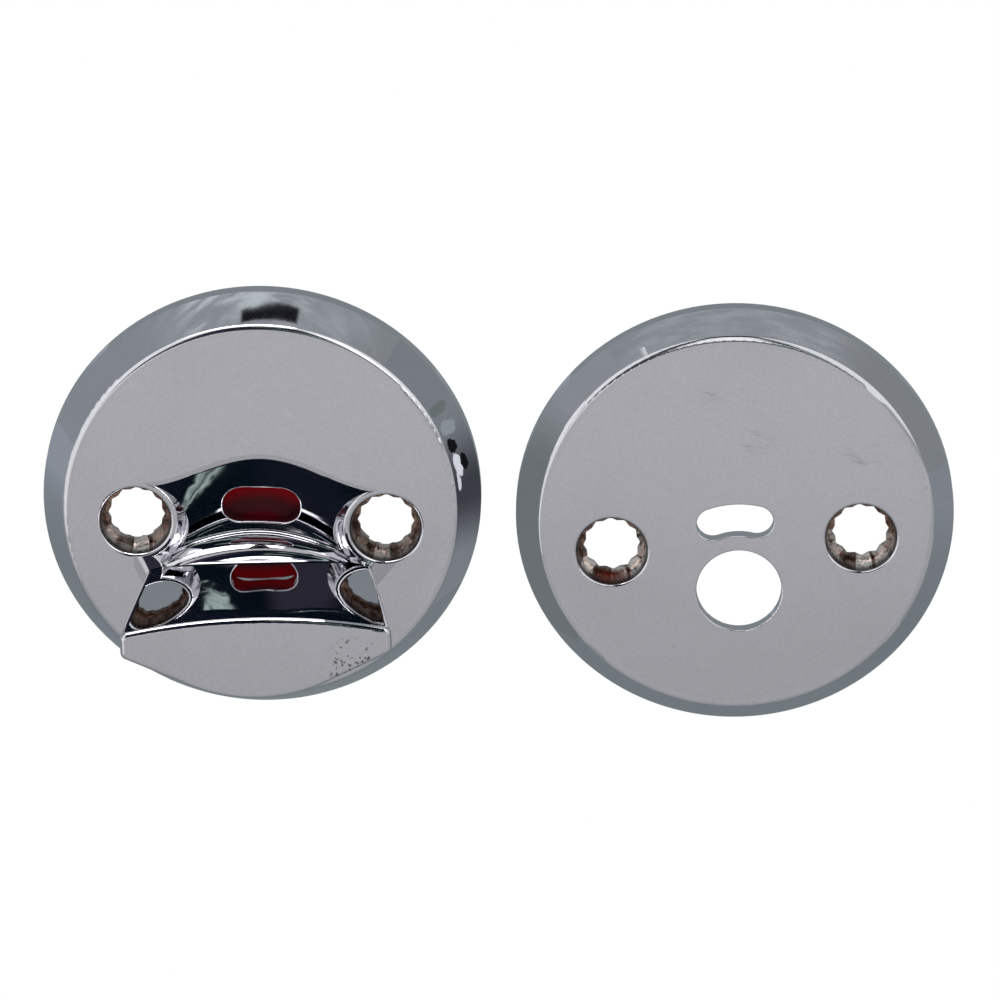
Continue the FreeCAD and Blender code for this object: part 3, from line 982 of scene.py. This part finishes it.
@dataclass
class Studio:
    """Camera, floor and soft lights, in metres and degrees."""

    target: Place = (0.03625, -0.0012, 0.00977)
    elevation: float = 21.0
    azimuth: float = 0.8
    roll: float = -1.48
    distance: float = 1.2
    view_width: float = 0.15267
    sensor: float = 36.0
    floor_drop: float = 0.35
    floor_size: float = 12.0
    floor_seen: Colour = (1.0, 1.0, 1.0, 1.0)
    floor_front: Colour = (0.565, 0.575, 0.59, 1.0)
    floor_near: Colour = (0.46, 0.467, 0.48, 1.0)
    floor_back: Colour = (0.225, 0.26, 0.275, 1.0)
    floor_far_left: Colour = (0.355, 0.395, 0.44, 1.0)
    floor_far_right: Colour = (0.30, 0.335, 0.36, 1.0)
    front_to_near: Band = (-1.05, -0.75)
    near_to_back: Band = (-0.35, 0.05)
    bright_x: Band = (-0.5, -0.25)
    bright_y: Band = (-0.6, -0.2)
    left_to_right: Band = (-0.3, 0.3)
    back_to_far: Band = (0.3, 1.5)
    box_centre: Place = (-0.028, -0.0405, 0.095)
    box_size: Plan = (0.084, 0.045)
    box_spread: float = 80.0
    box_power: float = 1.6
    fill_centre: Place = (0.065, -0.105, 0.106)
    fill_size: Plan = (0.048, 0.11)
    fill_spread: float = 180.0
    fill_power: float = 1.2
    fill_tip: float = 90.0

    def build(self) -> None:
        """Set up everything round the lock."""
        self.camera()
        self.floor()
        self.lights()
        bpy.context.scene.view_settings.view_transform = "Standard"

    def camera(self) -> None:
        """A long lens above the middle of the two halves."""
        lens = bpy.data.cameras.new("studio_camera")
        lens.sensor_width = self.sensor
        lens.lens = self.sensor * self.distance / self.view_width
        lens.clip_end = 50.0
        eye = bpy.data.objects.new("studio_camera", lens)
        aim = Matrix.Rotation(math.radians(self.roll), 4, "Y")
        aim = aim @ Matrix.Rotation(math.radians(self.azimuth), 4, "Z")
        aim = aim @ Matrix.Rotation(math.pi / 2 - math.radians(self.elevation), 4, "X")
        stand = Vector(self.target) + aim.to_3x3() @ Vector((0.0, 0.0, self.distance))
        eye.matrix_world = Matrix.Translation(stand) @ aim
        bpy.context.scene.collection.objects.link(eye)
        bpy.context.scene.camera = eye

    def floor(self) -> None:
        """A wide pale floor, well below the lock."""
        bpy.ops.object.select_all(action="DESELECT")
        drop = (0.0, 0.0, -self.floor_drop)
        bpy.ops.mesh.primitive_plane_add(size=self.floor_size, location=drop)
        plane = bpy.context.object
        plane.name = "studio_floor"
        material = bpy.data.materials.new("pale_floor")
        material.use_nodes = True
        sketch = NodeSketch(material.node_tree)
        path = sketch.node("ShaderNodeLightPath")
        x, y, _ = sketch.parts(sketch.node("ShaderNodeTexCoord").outputs["Object"])
        near = sketch.rise(y, self.front_to_near)
        near = sketch.colour(near, self.floor_front, self.floor_near)
        bright = sketch.product(sketch.fall(x, self.bright_x), sketch.fall(y, self.bright_y))
        near = sketch.colour(bright, near, self.floor_seen)
        far = sketch.rise(x, self.left_to_right)
        far = sketch.colour(far, self.floor_far_left, self.floor_far_right)
        back = sketch.colour(sketch.rise(sketch.size(x), self.back_to_far), self.floor_back, far)
        shade = sketch.colour(sketch.rise(y, self.near_to_back), near, back)
        shade = sketch.colour(path.outputs["Is Camera Ray"], shade, self.floor_seen)
        sketch.glow("ShaderNodeOutputMaterial", "ShaderNodeEmission", shade)
        plane.data.materials.append(material)

    def soft_light(self, name: str, centre: Place, size: Plan, power: float,
                   spread: float, tip: float) -> None:
        """Hang one soft rectangular light.

        Args:
            name: name of the light.
            centre: where it hangs.
            size: width and depth.
            power: its brightness as the plate mirrors it.
            spread: how wide it shines.
            tip: how far it is tipped from facing straight down.
        """
        lamp = bpy.data.lights.new(name, "AREA")
        lamp.shape = "RECTANGLE"
        lamp.size, lamp.size_y = size
        lamp.spread = math.radians(spread)
        lamp.energy = power * math.pi * size[0] * size[1]
        holder = bpy.data.objects.new(name, lamp)
        holder.location = centre
        holder.rotation_euler = (math.radians(tip), 0.0, 0.0)
        holder.visible_camera = False
        bpy.context.scene.collection.objects.link(holder)

    def lights(self) -> None:
        """A softbox over the inside half and a small fill before the outside half."""
        self.soft_light("overhead_softbox", self.box_centre, self.box_size, self.box_power,
                        self.box_spread, 0.0)
        self.soft_light("front_fill", self.fill_centre, self.fill_size, self.fill_power,
                        self.fill_spread, self.fill_tip)


def clear_strays() -> None:
    """Remove objects that came with an empty Blender file."""
    for name in ("Cube", "Light", "Camera"):
        if name in bpy.data.objects:
            bpy.data.objects.remove(bpy.data.objects[name], do_unlink=True)


def main() -> None:
    """Dress the lock and set up the studio."""
    logging.basicConfig(level=logging.INFO)
    clear_strays()
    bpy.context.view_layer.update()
    for part in (InsideHalf(), ThumbTurn(), OutsideHalf(), Studio(), Cards(), Room()):
        part.build()
        LOG.info("built %s", type(part).__name__)


if __name__ == "__main__":
    main()
